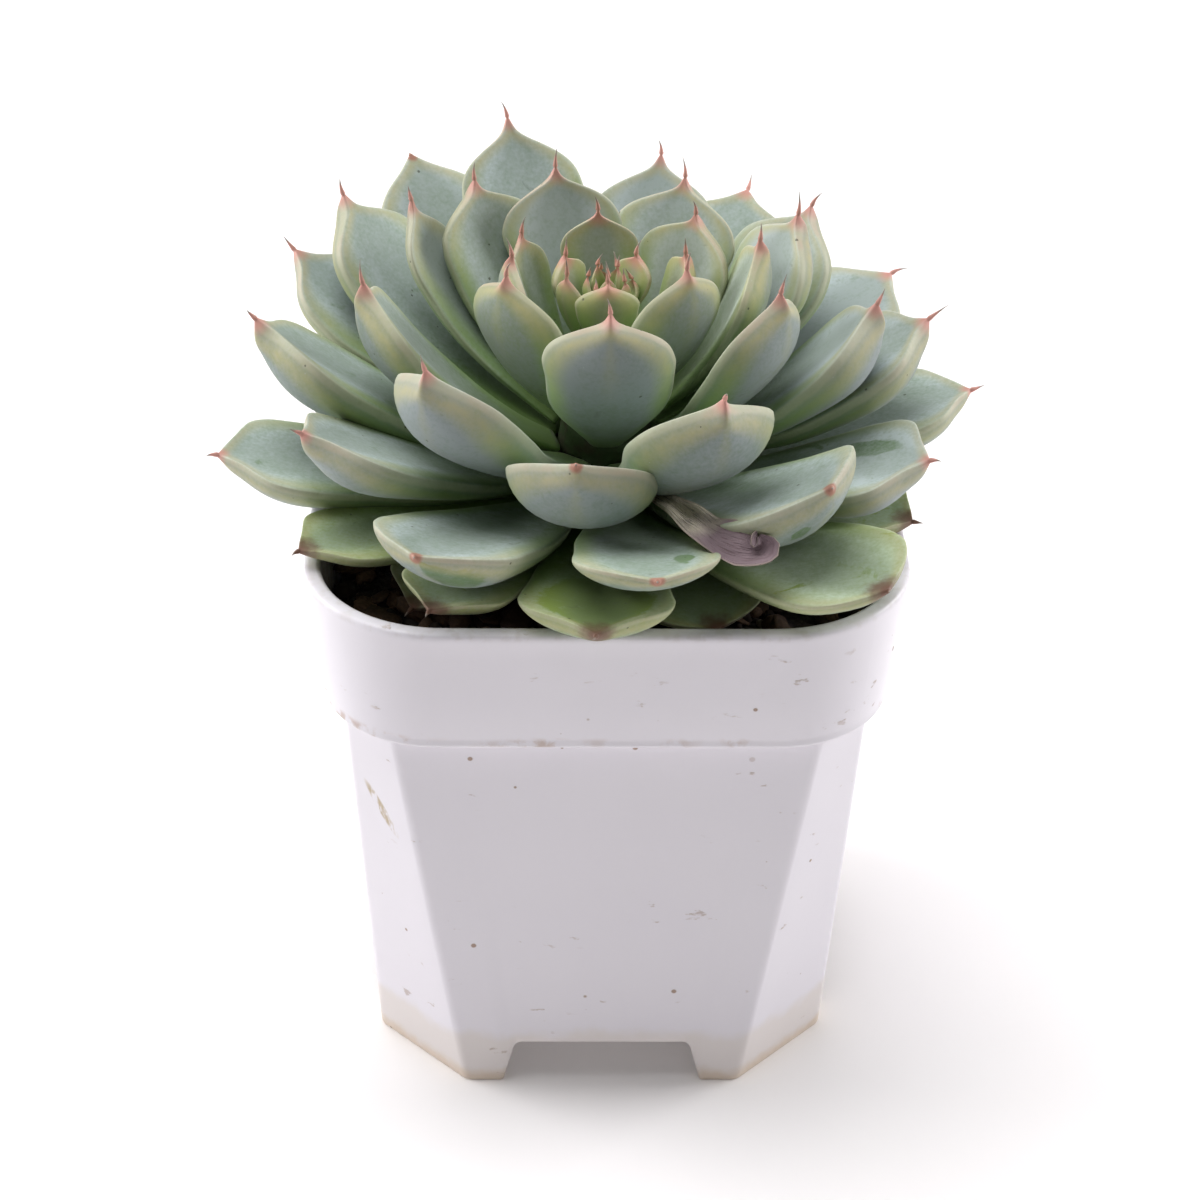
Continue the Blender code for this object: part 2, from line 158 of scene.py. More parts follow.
def make_piece(name, points, quads, triangles, finish, marks=None):
    """One object from points in millimetres; marks are numbers kept on its points for the finish to read."""
    mesh = bpy.data.meshes.new(name)
    corners = np.concatenate([quads.ravel(), triangles.ravel()]).astype(np.int32)
    sizes = np.concatenate([np.full(len(quads), 4), np.full(len(triangles), 3)])
    mesh.vertices.add(len(points))
    mesh.vertices.foreach_set("co", (np.asarray(points) * MM).astype(np.float32).ravel())
    mesh.loops.add(len(corners))
    mesh.loops.foreach_set("vertex_index", corners)
    mesh.polygons.add(len(sizes))
    mesh.polygons.foreach_set("loop_start", np.concatenate([[0], np.cumsum(sizes)[:-1]]).astype(np.int32))
    for label, values in (marks or {}).items():
        layer = mesh.attributes.new(label, "FLOAT", "POINT")
        layer.data.foreach_set("value", np.asarray(values, np.float32).ravel())
    mesh.update(calc_edges=True)
    mesh.validate()
    mesh.shade_smooth()
    mesh.materials.append(finish)
    piece = bpy.data.objects.new(name, mesh)
    bpy.context.scene.collection.objects.link(piece)
    return piece


def make_tube(name, grid, finish, marks=None):
    """A closed skin over a grid of rings, with each end drawn in to the middle of its ring."""
    rows, columns = grid.shape[:2]
    quads, fans = skin_faces(rows, columns)
    points = np.vstack([grid.reshape(-1, 3), grid[0].mean(0), grid[-1].mean(0)])
    full = {}
    for label, values in (marks or {}).items():
        full[label] = np.concatenate([values.ravel(), [values[0].mean()], [values[-1].mean()]])
    return make_piece(name, points, quads, fans, finish, full)


class Wire:
    """A socket of a material under construction. The operators on it add Math nodes."""

    def __init__(self, finish, socket):
        self.finish = finish
        self.socket = socket

    def math(self, operation, first, second=0.0):
        """A Math node on two values, in order."""
        return self.finish.node("ShaderNodeMath", {"operation": operation}, {0: first, 1: second})

    def __add__(self, other):
        return self.math("ADD", self, other)

    __radd__ = __add__

    def __sub__(self, other):
        return self.math("SUBTRACT", self, other)

    def __rsub__(self, other):
        return self.math("SUBTRACT", other, self)

    def __mul__(self, other):
        return self.math("MULTIPLY", self, other)

    __rmul__ = __mul__

    def __truediv__(self, other):
        return self.math("DIVIDE", self, other)

    def __pow__(self, other):
        return self.math("POWER", self, other)

    def __abs__(self):
        return self.math("ABSOLUTE", self)

    def least(self, other):
        """The smaller of two."""
        return self.math("MINIMUM", self, other)

    def most(self, other):
        """The larger of two."""
        return self.math("MAXIMUM", self, other)

    def rises(self, low, high):
        """0 below low, 1 above high and smooth between them; it falls instead if low is the larger."""
        inputs = {0: self, 1: low, 2: high, 3: 0.0, 4: 1.0}
        if low >= high:
            inputs = {0: self, 1: high, 2: low, 3: 1.0, 4: 0.0}
        return self.finish.node("ShaderNodeMapRange", {"interpolation_type": "SMOOTHSTEP"}, inputs)


class Finish:
    """A Principled material under construction; its fixed values are set on the shader's own sockets."""

    def __init__(self, name, **fixed):
        self.material = bpy.data.materials.new(name)
        self.material.use_nodes = True
        self.tree = self.material.node_tree
        self.skin = self.tree.nodes["Principled BSDF"]
        for label, value in fixed.items():
            self.skin.inputs[label.replace("_", " ").title().replace("Ior", "IOR")].default_value = value
        self.place = self.node("ShaderNodeTexCoord", {}, {}, "Object")

    def node(self, kind, settings, inputs, out=0):
        """Any node: its settings first, then its sockets' values or links; gives back one output."""
        made = self.tree.nodes.new(kind)
        for label, value in settings.items():
            setattr(made, label, value)
        for label, value in inputs.items():
            if isinstance(value, Wire):
                self.tree.links.new(value.socket, made.inputs[label])
            else:
                made.inputs[label].default_value = value
        return Wire(self, made.outputs[out])

    def mark(self, label):
        """A number kept on the piece's points."""
        return self.node("ShaderNodeAttribute", {"attribute_name": label}, {}, "Fac")

    def coordinate(self, axis):
        """Where on the piece, along one axis, in millimetres."""
        return self.node("ShaderNodeSeparateXYZ", {}, {0: self.place}, axis) * 1000.0

    def stretched(self, x, y, z):
        """The place, with each axis scaled."""
        return self.node("ShaderNodeVectorMath", {"operation": "MULTIPLY"}, {0: self.place, 1: (x, y, z)})

    def noise(self, grain, detail=3.0, where=None, twist=0.0):
        """Cloudy noise from 0 to 1, whose lumps are about grain millimetres across."""
        inputs = {"Vector": where or self.place, "Scale": 1000.0 / grain, "Detail": detail}
        inputs.update({"Roughness": 0.55, "Distortion": twist})
        return self.node("ShaderNodeTexNoise", {}, inputs, 0)

    def specks(self, spacing, size, share):
        """Scattered dots: a dot at the heart of a share of the cells, of up to this size in cells."""
        inputs = {"Vector": self.place, "Scale": 1000.0 / spacing}
        cell = self.node("ShaderNodeTexVoronoi", {}, inputs, "Color")
        split = self.node("ShaderNodeSeparateColor", {}, {0: cell}, 0)
        chosen = split.rises(share + 0.001, share)
        far = self.node("ShaderNodeTexVoronoi", {}, inputs, "Distance")
        return (far - size * split / share).rises(0.03, -0.03) * chosen

    def blend(self, share, first, second):
        """A colour between two: first where share is 0 and second where it is 1."""
        settings = {"data_type": "RGBA", "clamp_factor": True}
        return self.node("ShaderNodeMix", settings, {0: share, 6: first, 7: second}, 2)

    def bump(self, height, millimetres, under=None):
        """A relief this deep; several are chained."""
        inputs = {"Height": height, "Distance": millimetres * MM, "Strength": 1.0}
        if under is not None:
            inputs["Normal"] = under
        return self.node("ShaderNodeBump", {}, inputs)

    def done(self, colour=None, roughness=None, normal=None):
        """Join what varies to the shader."""
        for label, value in (("Base Color", colour), ("Roughness", roughness), ("Normal", normal)):
            if value is not None:
                self.tree.links.new(value.socket, self.skin.inputs[label])
        return self.material


def rgb(red, green, blue):
    """An opaque colour."""
    return (red, green, blue, 1.0)


def shade(colour, times):
    """The same colour, this many times as light."""
    return rgb(*(times * np.array(colour[:3])))


def pot_finish():
    """White plastic: earth flecks and smears, a tide mark by the feet, dirt in places on ledge and lip."""
    plastic = Finish("pot_plastic", roughness=0.34, specular_ior_level=0.5)
    x, y, z = (plastic.coordinate(axis) for axis in "XYZ")
    white = plastic.blend(plastic.noise(18, 2), rgb(0.83, 0.80, 0.85), rgb(0.80, 0.77, 0.83))
    lying = plastic.stretched(0.45, 0.45, 1.0)
    flecks = plastic.specks(2.9, 0.13, 0.22)
    grime = plastic.noise(1.6, 5, lying).rises(0.645, 0.70) * plastic.noise(7, 1).rises(0.52, 0.60)
    uneven = plastic.noise(2.5, 4)
    ledge = z.rises(collar_z + 0.05, collar_z + 0.45) * z.rises(collar_z + 1.9, collar_z + 0.8)
    ledge = ledge * uneven.rises(0.44, 0.60) * plastic.noise(11, 1).rises(0.48, 0.58)
    lip = z.rises(rim_z - 1.2, rim_z - 0.4) * plastic.noise(1.6, 4).rises(0.46, 0.66)
    inside = plastic.mark("inner")
    tide = (z + 5 * plastic.noise(6, 3)).rises(12.2, 9.4)
    feet = (z + 3 * plastic.noise(3, 4)).rises(4.4, 2.0)
    streak_left, streak_z, streak_lean = 28.3, 43.5, 0.55
    up_streak = z - streak_z
    off_streak = x + streak_left + up_streak * streak_lean
    streak_far = abs(off_streak) ** 2.0 * 2.2 + abs(up_streak) ** 2.0 * 0.10
    broken = plastic.noise(1.2, 3, plastic.stretched(1, 1, 0.4)).rises(0.42, 0.6)
    streak = streak_far.rises(1.6, 0.5) * y.rises(-20, -22) * broken
    colour = plastic.blend(0.45 * tide, white, rgb(0.74, 0.66, 0.56))
    colour = plastic.blend(0.55 * feet, colour, rgb(0.66, 0.50, 0.33))
    colour = plastic.blend(0.55 * ledge, colour, rgb(0.50, 0.34, 0.24))
    colour = plastic.blend(0.15 * lip, colour, rgb(0.45, 0.37, 0.26))
    colour = plastic.blend(0.25 * inside * uneven.rises(0.35, 0.6), colour, rgb(0.30, 0.22, 0.15))
    colour = plastic.blend(0.8 * flecks, colour, rgb(0.30, 0.17, 0.09))
    colour = plastic.blend(0.5 * grime, colour, rgb(0.38, 0.26, 0.18))
    colour = plastic.blend(0.8 * streak, colour, rgb(0.42, 0.30, 0.12))
    dirt = (flecks + grime + ledge + tide * 0.5).least(1.0)
    matt = 0.30 + 0.10 * plastic.noise(5, 4) + 0.35 * dirt
    relief = plastic.bump(plastic.noise(9, 2), 0.05)
    relief = plastic.bump(plastic.noise(0.5, 2), 0.006, relief)
    relief = plastic.bump(flecks + grime, 0.05, relief)
    return plastic.done(colour, matt, relief)


def drill(piece, spots, radius, low, high):
    """Cut upright round holes through a piece, between two heights."""
    ring = np.exp(1j * np.linspace(0, 2 * np.pi, 33)[:-1]) * radius
    for spot in spots:
        bar = make_tube("drill", np.array([at_height(ring + spot, low), at_height(ring + spot, high)]), None)
        hole = piece.modifiers.new("hole", "BOOLEAN")
        hole.operation = "DIFFERENCE"
        hole.solver = "EXACT"
        hole.object = bar
        bored = bpy.data.meshes.new_from_object(piece.evaluated_get(bpy.context.evaluated_depsgraph_get()))
        piece.modifiers.clear()
        piece.data = bored
        bpy.data.objects.remove(bar, do_unlink=True)


pot_grid, pot_marks = pot_rows()
pot = make_tube("pot", pot_grid, pot_finish(), pot_marks)
drains = [0j] + [drain_distance * np.exp(1j * math.radians(45 + 90 * k)) for k in range(4)]
drill(pot, drains, drain_radius, drain_low, drain_high)
pot.data.name = "pot"
pot.data.set_sharp_from_angle(angle=math.radians(50))
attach(pot, "root")
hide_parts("pot")

# --------------------------------------------------------------------------------------------------
# The potting mix: a dark bed of peat and fine bark, crumbly on top, with loose grains of brown fired clay and
# pale pumice lying on it. It fills the cup to a few millimetres under the rim.
soil_level = 67.0
bed_half, bed_corner = 33.0, 14
axis_y = 4.0


def ripple(x, y, reach, seed):
    """Smooth bumps about reach millimetres across: a sum of eight plane waves with scattered headings."""
    chance = np.random.default_rng(seed)
    heading = chance.uniform(0, 2 * np.pi, 8)
    wave = 2 * np.pi / (reach * chance.uniform(0.7, 1.6, 8))
    phase = chance.uniform(0, 2 * np.pi, 8)
    span = np.multiply.outer(x, np.cos(heading) * wave) + np.multiply.outer(y, np.sin(heading) * wave)
    return np.sin(span + phase).sum(-1) / 4


def bed_height(x, y):
    """The top of the soil: gently domed, with lumps of three sizes."""
    dome = 1.0 - (x**2 + y**2) / 1200.0
    height = soil_level + dome
    for size, reach, seed in ((0.5, 11, 1), (0.3, 4, 2), (0.15, 1.8, 3)):
        height = height + size * ripple(x, y, reach, seed)
    return height


def soil_rows():
    """Rings from the middle of the bottom, up the inside of the cup and in over the bed to the stem."""
    rows = [at_height(body_ring(3.2, 9) * share, 8.75) for share in (0.05, 0.5, 0.95)]
    rows += [at_height(body_ring(1.95, z), z) for z in (10.2, 30.0, 57.0)]
    rows += [at_height(round_ring(32.6, 12.4), 61.0), at_height(round_ring(33.9, 14.2), soil_level - 1.2)]
    for share in np.linspace(0.99, 0.02, 70):
        ring = round_ring(34.0, 14.4) * share + 1j * axis_y * (1 - share)
        rows.append(at_height(ring, bed_height(ring.real, ring.imag) - 1.0 * (share > 0.98)))
    return np.array(rows)


def soil_finish():
    """Earth: two dark browns in crumbs, rough all over."""
    grain = 1.3
    earth = Finish("soil_mix", roughness=0.95)
    crumbs = earth.noise(grain, 5)
    colour = earth.blend(crumbs.rises(0.35, 0.7), rgb(0.014, 0.012, 0.012), rgb(0.085, 0.068, 0.062))
    colour = earth.blend(earth.specks(1.6, 0.3, 0.08) * 0.6, colour, rgb(0.24, 0.16, 0.10))
    relief = earth.bump(crumbs, grain * 0.35)
    relief = earth.bump(earth.noise(grain * 0.3, 3), grain * 0.08, relief)
    return earth.done(colour, 0.80 + 0.2 * crumbs, relief)


soil = make_tube("soil_bed", soil_rows(), soil_finish())
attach(soil, "root")
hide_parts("soil")


def scatter_grains(name, count, sizes, flatness, finish, seed, sink=0.25):
    """Loose grains on the bed: each a rough ball of four bands by seven, squashed, turned and sunk a bit."""
    chance = np.random.default_rng(seed)
    lift = np.radians([-50, -10, 30, 65])
    bands, slices = len(lift), 7
    turn = np.arange(slices) * 2 * np.pi / slices
    ball = np.stack([np.outer(np.cos(lift), np.cos(turn)), np.outer(np.cos(lift), np.sin(turn)),
                     np.outer(np.sin(lift), np.ones(slices))], axis=-1).reshape(-1, 3)
    ball = np.vstack([ball, [[0, 0, -1], [0, 0, 1]]])
    spot = chance.uniform(-bed_half, bed_half, (count * 2, 2))
    into_corner = np.clip(np.abs(spot) - (bed_half - bed_corner), 0, None)
    spot = spot[np.hypot(*into_corner.T) < bed_corner][:count]
    count = len(spot)
    size = sizes[0] * (sizes[1] / sizes[0]) ** (chance.random(count) ** 2)
    shape = ball[None] * chance.uniform(0.78, 1.22, (count, len(ball), 1))
    narrow, flat = chance.uniform(0.6, 1, count), chance.uniform(*flatness, count)
    squash = np.stack([np.ones(count), narrow, flat], axis=-1)
    shape = shape * size[:, None, None] * squash[:, None]
    spin, tilt = chance.uniform(0, 2 * np.pi, count), chance.uniform(-0.6, 0.6, count)
    up = shape[..., 2] * np.cos(tilt)[:, None] + shape[..., 0] * np.sin(tilt)[:, None]
    along = shape[..., 0] * np.cos(tilt)[:, None] - shape[..., 2] * np.sin(tilt)[:, None]
    x = along * np.cos(spin)[:, None] - shape[..., 1] * np.sin(spin)[:, None] + spot[:, :1]
    y = along * np.sin(spin)[:, None] + shape[..., 1] * np.cos(spin)[:, None] + spot[:, 1:]
    z = up + (bed_height(spot[:, 0], spot[:, 1]) + size * (0.5 - sink))[:, None]
    quads, fans = skin_faces(bands, slices)
    shift = np.arange(count)[:, None, None] * len(ball)
    all_quads, all_fans = (quads + shift).reshape(-1, 4), (fans + shift).reshape(-1, 3)
    points = np.stack([x, y, z], axis=-1).reshape(-1, 3)
    tint = np.repeat(chance.random(count), len(ball))
    piece = make_piece(name, points, all_quads, all_fans, finish, {"tint": tint})
    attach(piece, "root")
    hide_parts("soil")


def grain_finish(name, dark, light, rough):
    """Mineral grains, each of its own shade, pitted."""
    stone = Finish(name, roughness=rough)
    colour = stone.blend(stone.mark("tint"), dark, light)
    pits = stone.noise(0.5, 4)
    colour = stone.blend(0.5 * pits.rises(0.6, 0.4), colour, dark)
    return stone.done(colour, rough - 0.1 + 0.2 * pits, stone.bump(pits, 0.12))


peat = grain_finish("peat_crumbs", rgb(0.010, 0.007, 0.006), rgb(0.055, 0.034, 0.024), 0.9)
scatter_grains("soil_crumbs", 1700, (0.5, 1.7), (0.5, 0.9), peat, seed=11)
clay = grain_finish("fired_clay", rgb(0.055, 0.028, 0.017), rgb(0.21, 0.125, 0.075), 0.8)
scatter_grains("soil_clay_grains", 260, (0.8, 2.2), (0.6, 0.9), clay, seed=12, sink=0.1)
pumice = grain_finish("pumice", rgb(0.22, 0.18, 0.14), rgb(0.50, 0.44, 0.36), 0.85)
scatter_grains("soil_pumice_grains", 60, (0.7, 1.8), (0.6, 0.9), pumice, seed=13, sink=0.1)
bits = grain_finish("bark_bits", rgb(0.035, 0.020, 0.012), rgb(0.16, 0.09, 0.05), 0.8)
scatter_grains("soil_bark_bits", 110, (1.1, 3.2), (0.14, 0.3), bits, seed=14, sink=-0.15)

# --------------------------------------------------------------------------------------------------
# The stem: short, upright and green-brown, ringed with the scars of leaves that have fallen. The leaves hide
# most of it, and it tapers away under the heart.


def stem_rows():
    """Rings up the axis, whose radius tapers and swells a little at each scar."""
    height = np.linspace(48.0, 97.6, 60)
    taper = np.interp(height, [48, 67.5, 80, 86, 92, 97.6], [5.2, 6.0, 6.0, 4.7, 3.1, 1.2])
    turn = np.linspace(0, 2 * np.pi, 49)[:-1]
    taper, height = taper[:, None], height[:, None]
    scars = 0.18 * np.sin(height * 2.1 + 3 * turn) + 0.12 * np.sin(5 * turn - height)
    reach = taper + scars * (taper > 2)
    return np.stack([reach * np.cos(turn), axis_y + reach * np.sin(turn), height + 0 * turn], axis=-1)


def stem_finish():
    """Young bark: green, browning in patches, matt."""
    bark = Finish("stem_bark", roughness=0.75)
    patch = bark.noise(3.0, 4)
    colour = bark.blend(patch.rises(0.4, 0.65), rgb(0.045, 0.08, 0.025), rgb(0.06, 0.06, 0.03))
    return bark.done(colour, 0.65 + 0.25 * patch, bark.bump(bark.noise(0.7, 4), 0.15))


stem = make_tube("stem", stem_rows(), stem_finish())
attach(stem, "root")
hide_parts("stem")

# --------------------------------------------------------------------------------------------------
# The leaves: thick, fleshy and pointed, hollowed above and keeled below. A powdery wax gives them their grey
# bloom. Each has a pale margin with a painted highlight on it, and a pink point, which ends in a dry hair
# unless it has broken off. The oldest leaves lie lowest.
rows_along, columns_around = 64, 40
packed_rings = 9
leaf_turn = np.arange(columns_around) * 2 * np.pi / columns_around
across = -np.cos(leaf_turn)
upward = np.sin(leaf_turn)


def read_leaf(node):
    """A packed leaf's cross-sections and point, read back from its foot outwards: its middle line, sideways
    direction, half-width, and how far the upper face, the lower face and the margins stand off the middle."""
    shape = bmesh.new()
    shape.from_mesh(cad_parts[node].data)
    bmesh.ops.remove_doubles(shape, verts=shape.verts, dist=1e-6)
    shape.verts.index_update()
    spots = np.array([v.co for v in shape.verts]) / MM
    pairs = np.array([[v.index for v in edge.verts] for edge in shape.edges])
    shape.free()
    near = np.zeros((len(spots), len(spots)), bool)
    near[pairs[:, 0], pairs[:, 1]] = True
    near |= near.T
    order = np.argsort(np.hypot(spots[:, 0], spots[:, 1] - axis_y))
    tip = int(np.argmax(np.linalg.norm(spots - spots[order[:8]].mean(0), axis=1)))
    steps = np.full(len(spots), -1)
    steps[tip] = 0
    for step in range(1, packed_rings + 1):
        steps[near[steps == step - 1].any(0) & (steps < 0)] = step
    rings = [spots[steps == step] for step in range(packed_rings, 0, -1)]
    line = spots[tip] - rings[0].mean(0)
    round_axis = np.array([-(line[1]), line[0], 0.0])
    middle, side, half, above, below, cup = [], [], [], [], [], []
    for ring in rings:
        far = np.linalg.norm(ring[:, None] - ring[None], axis=2)
        one, two = np.unravel_index(np.argmax(far), far.shape)
        left, right = ring[one], ring[two]
        if np.dot(right - left, round_axis) < 0:
            left, right = right, left
        sideways = (right - left) / np.linalg.norm(right - left)
        centre = (left + right) / 2
        others = np.delete(ring, [one, two], axis=0)
        central = others[np.argsort(np.abs((others - centre) @ sideways))[:2]]
        up = np.cross(line, sideways)
        top, bottom = central[np.argsort(-(central @ up))]
        heart = top - 0.25 * (top - bottom)
        middle.append(heart)
        side.append(sideways)
        half.append(far.max() / 2)
        above.append(top - heart)
        below.append(bottom - heart)
        cup.append(centre - heart)
    thin = 0.26
    middle.append(spots[tip])
    side.append(side[-1])
    half.append(thin)
    above.append(above[-1] / np.linalg.norm(above[-1]) * thin)
    below.append(below[-1] / np.linalg.norm(below[-1]) * thin)
    cup.append(np.zeros(3))
    return [np.array(values) for values in (middle, side, np.array(half)[:, None], above, below, cup)]


def run_through(stations, values, where):
    """Values between stations, by cubic pieces whose slope at a station is the mean of those beside it."""
    gaps = np.diff(stations)[:, None]
    rise = np.diff(values, axis=0) / gaps
    inner = (rise[1:] * gaps[:-1] + rise[:-1] * gaps[1:]) / (gaps[1:] + gaps[:-1])
    slope = np.vstack([rise[:1], inner, rise[-1:]])
    piece = np.clip(np.searchsorted(stations, where, side="right") - 1, 0, len(gaps) - 1)
    share = ((where - stations[piece]) / gaps[piece, 0])[:, None]
    low, high, gap = values[piece], values[piece + 1], gaps[piece]
    bend_low, bend_high = slope[piece] * gap, slope[piece + 1] * gap
    return (low * (1 + 2 * share) * (1 - share) ** 2 + bend_low * share * (1 - share) ** 2
            + high * share**2 * (3 - 2 * share) + bend_high * share**2 * (share - 1))


def leaf_skin(ribs, seed, hair, belly, foot_wide=0.14, rubs=(), nature=None):
    """A leaf's grid of rings: sections swept along the middle line, the upper face nearly flat and the lower
    face full with a keel towards the point, then a spine of length hair. Also its marks, for the finish. A
    hair of under a millimetre is a broken one, on a blunt point. Nature is how powdery the leaf is."""
    middle, side, half, above, below, cup = ribs
    blunted = hair < 1
    pinch = 0 if blunted else 0.40
    chance = np.random.default_rng(seed)
    run = np.concatenate([[0], np.cumsum(np.linalg.norm(np.diff(middle, axis=0), axis=1))])
    stations = run / run[-1]
    where = 1 - (1 - np.linspace(0, 1, rows_along)) ** 1.35
    middle, side, half, above, below, cup = (
        run_through(stations, values, where) for values in (middle, side, half, above, below, cup))
    half = np.maximum(half, 0.2)
    half = half + foot_wide * half.max() * np.clip(1 - where / 0.34, 0, 1)[:, None] ** 2
    half = half * (1 - pinch * np.exp(-(((where - 0.97) / 0.055) ** 2)))[:, None]
    sway = chance.uniform(0, 2 * np.pi, 4)
    swell = 1 + 0.018 * np.sin(9 * where + sway[0]) + 0.012 * np.sin(21 * where + sway[1])
    swell = 1 + (swell - 1) * np.clip((1 - where) * 6, 0, 1)
    keel = np.clip((where - 0.35) / 0.6, 0, 1)[:, None]
    wide = np.abs(across)[None]
    rounded = (1 - wide**3.4) ** 0.56
    ridged = 0.6 * (1 - wide**1.4) + 0.4 * (1 - wide**2) ** 0.6
    full = (1 - wide**2.6) ** 0.52
    fuller = (1 + belly * np.exp(-(((where - 0.86) / 0.19) ** 2)))[:, None]
    lower = (full * (1 - 0.30 * keel) + ridged * 0.30 * keel) * fuller
    on_top = np.where(upward >= 0, 1, 0)[None, :, None]
    lift = on_top * above[:, None] * rounded[..., None] + (1 - on_top) * below[:, None] * lower[..., None]
    lip = 1 + 0.03 * np.sin(13 * where[:, None] + sway[2] + 2.5 * np.sign(across)[None]) * wide**3
    reach = (half * swell[:, None]) * across[None] * lip
    bowl = cup[:, None] * (across**2)[None, :, None]
    grid = middle[:, None] + reach[..., None] * side[:, None] + bowl + lift
    ahead = middle[-1] - middle[-4]
    ahead = ahead / np.linalg.norm(ahead)
    drift = chance.normal(0, 0.18, 3)
    spine = np.linspace(0, 1, 10)[1:]
    centre = middle[-1] + (ahead + drift * spine[:, None]) * (hair * spine[:, None])
    thin = 0.34 * (1 - spine) ** 1.3 + 0.03
    up = above[-1] / np.linalg.norm(above[-1])
    round_spine = across[None, :, None] * side[-1] + upward[None, :, None] * up
    grid = np.vstack([grid, centre[:, None] + thin[:, None, None] * round_spine])
    along = np.concatenate([where, 1 + spine])
    on_leaf = (along < 1.0001)[:, None]
    if nature is None:
        nature = chance.random()
    marks = {
        "along": np.repeat(along[:, None], columns_around, 1),
        "across": np.repeat(across[None], len(along), 0),
        "upward": np.repeat(upward[None], len(along), 0),
        "margin": np.vstack([half * (1 - wide), np.zeros((len(spine), columns_around))]),
        "point": np.linalg.norm(grid - middle[-1], axis=2) * on_leaf,
        "nature": np.full((len(along), columns_around), nature),
        "scar": np.full((len(along), columns_around), float(blunted)),
    }
    worn = np.zeros(grid.shape[:2])
    for spot, aside, face, length, width in rubs:
        off = ((along[:, None] - spot) / length) ** 2 + ((across[None] - aside) / width) ** 2
        worn = np.maximum(worn, np.exp(-off) * (np.sign(upward) == face)[None])
    marks["worn"] = worn
    return grid, marks


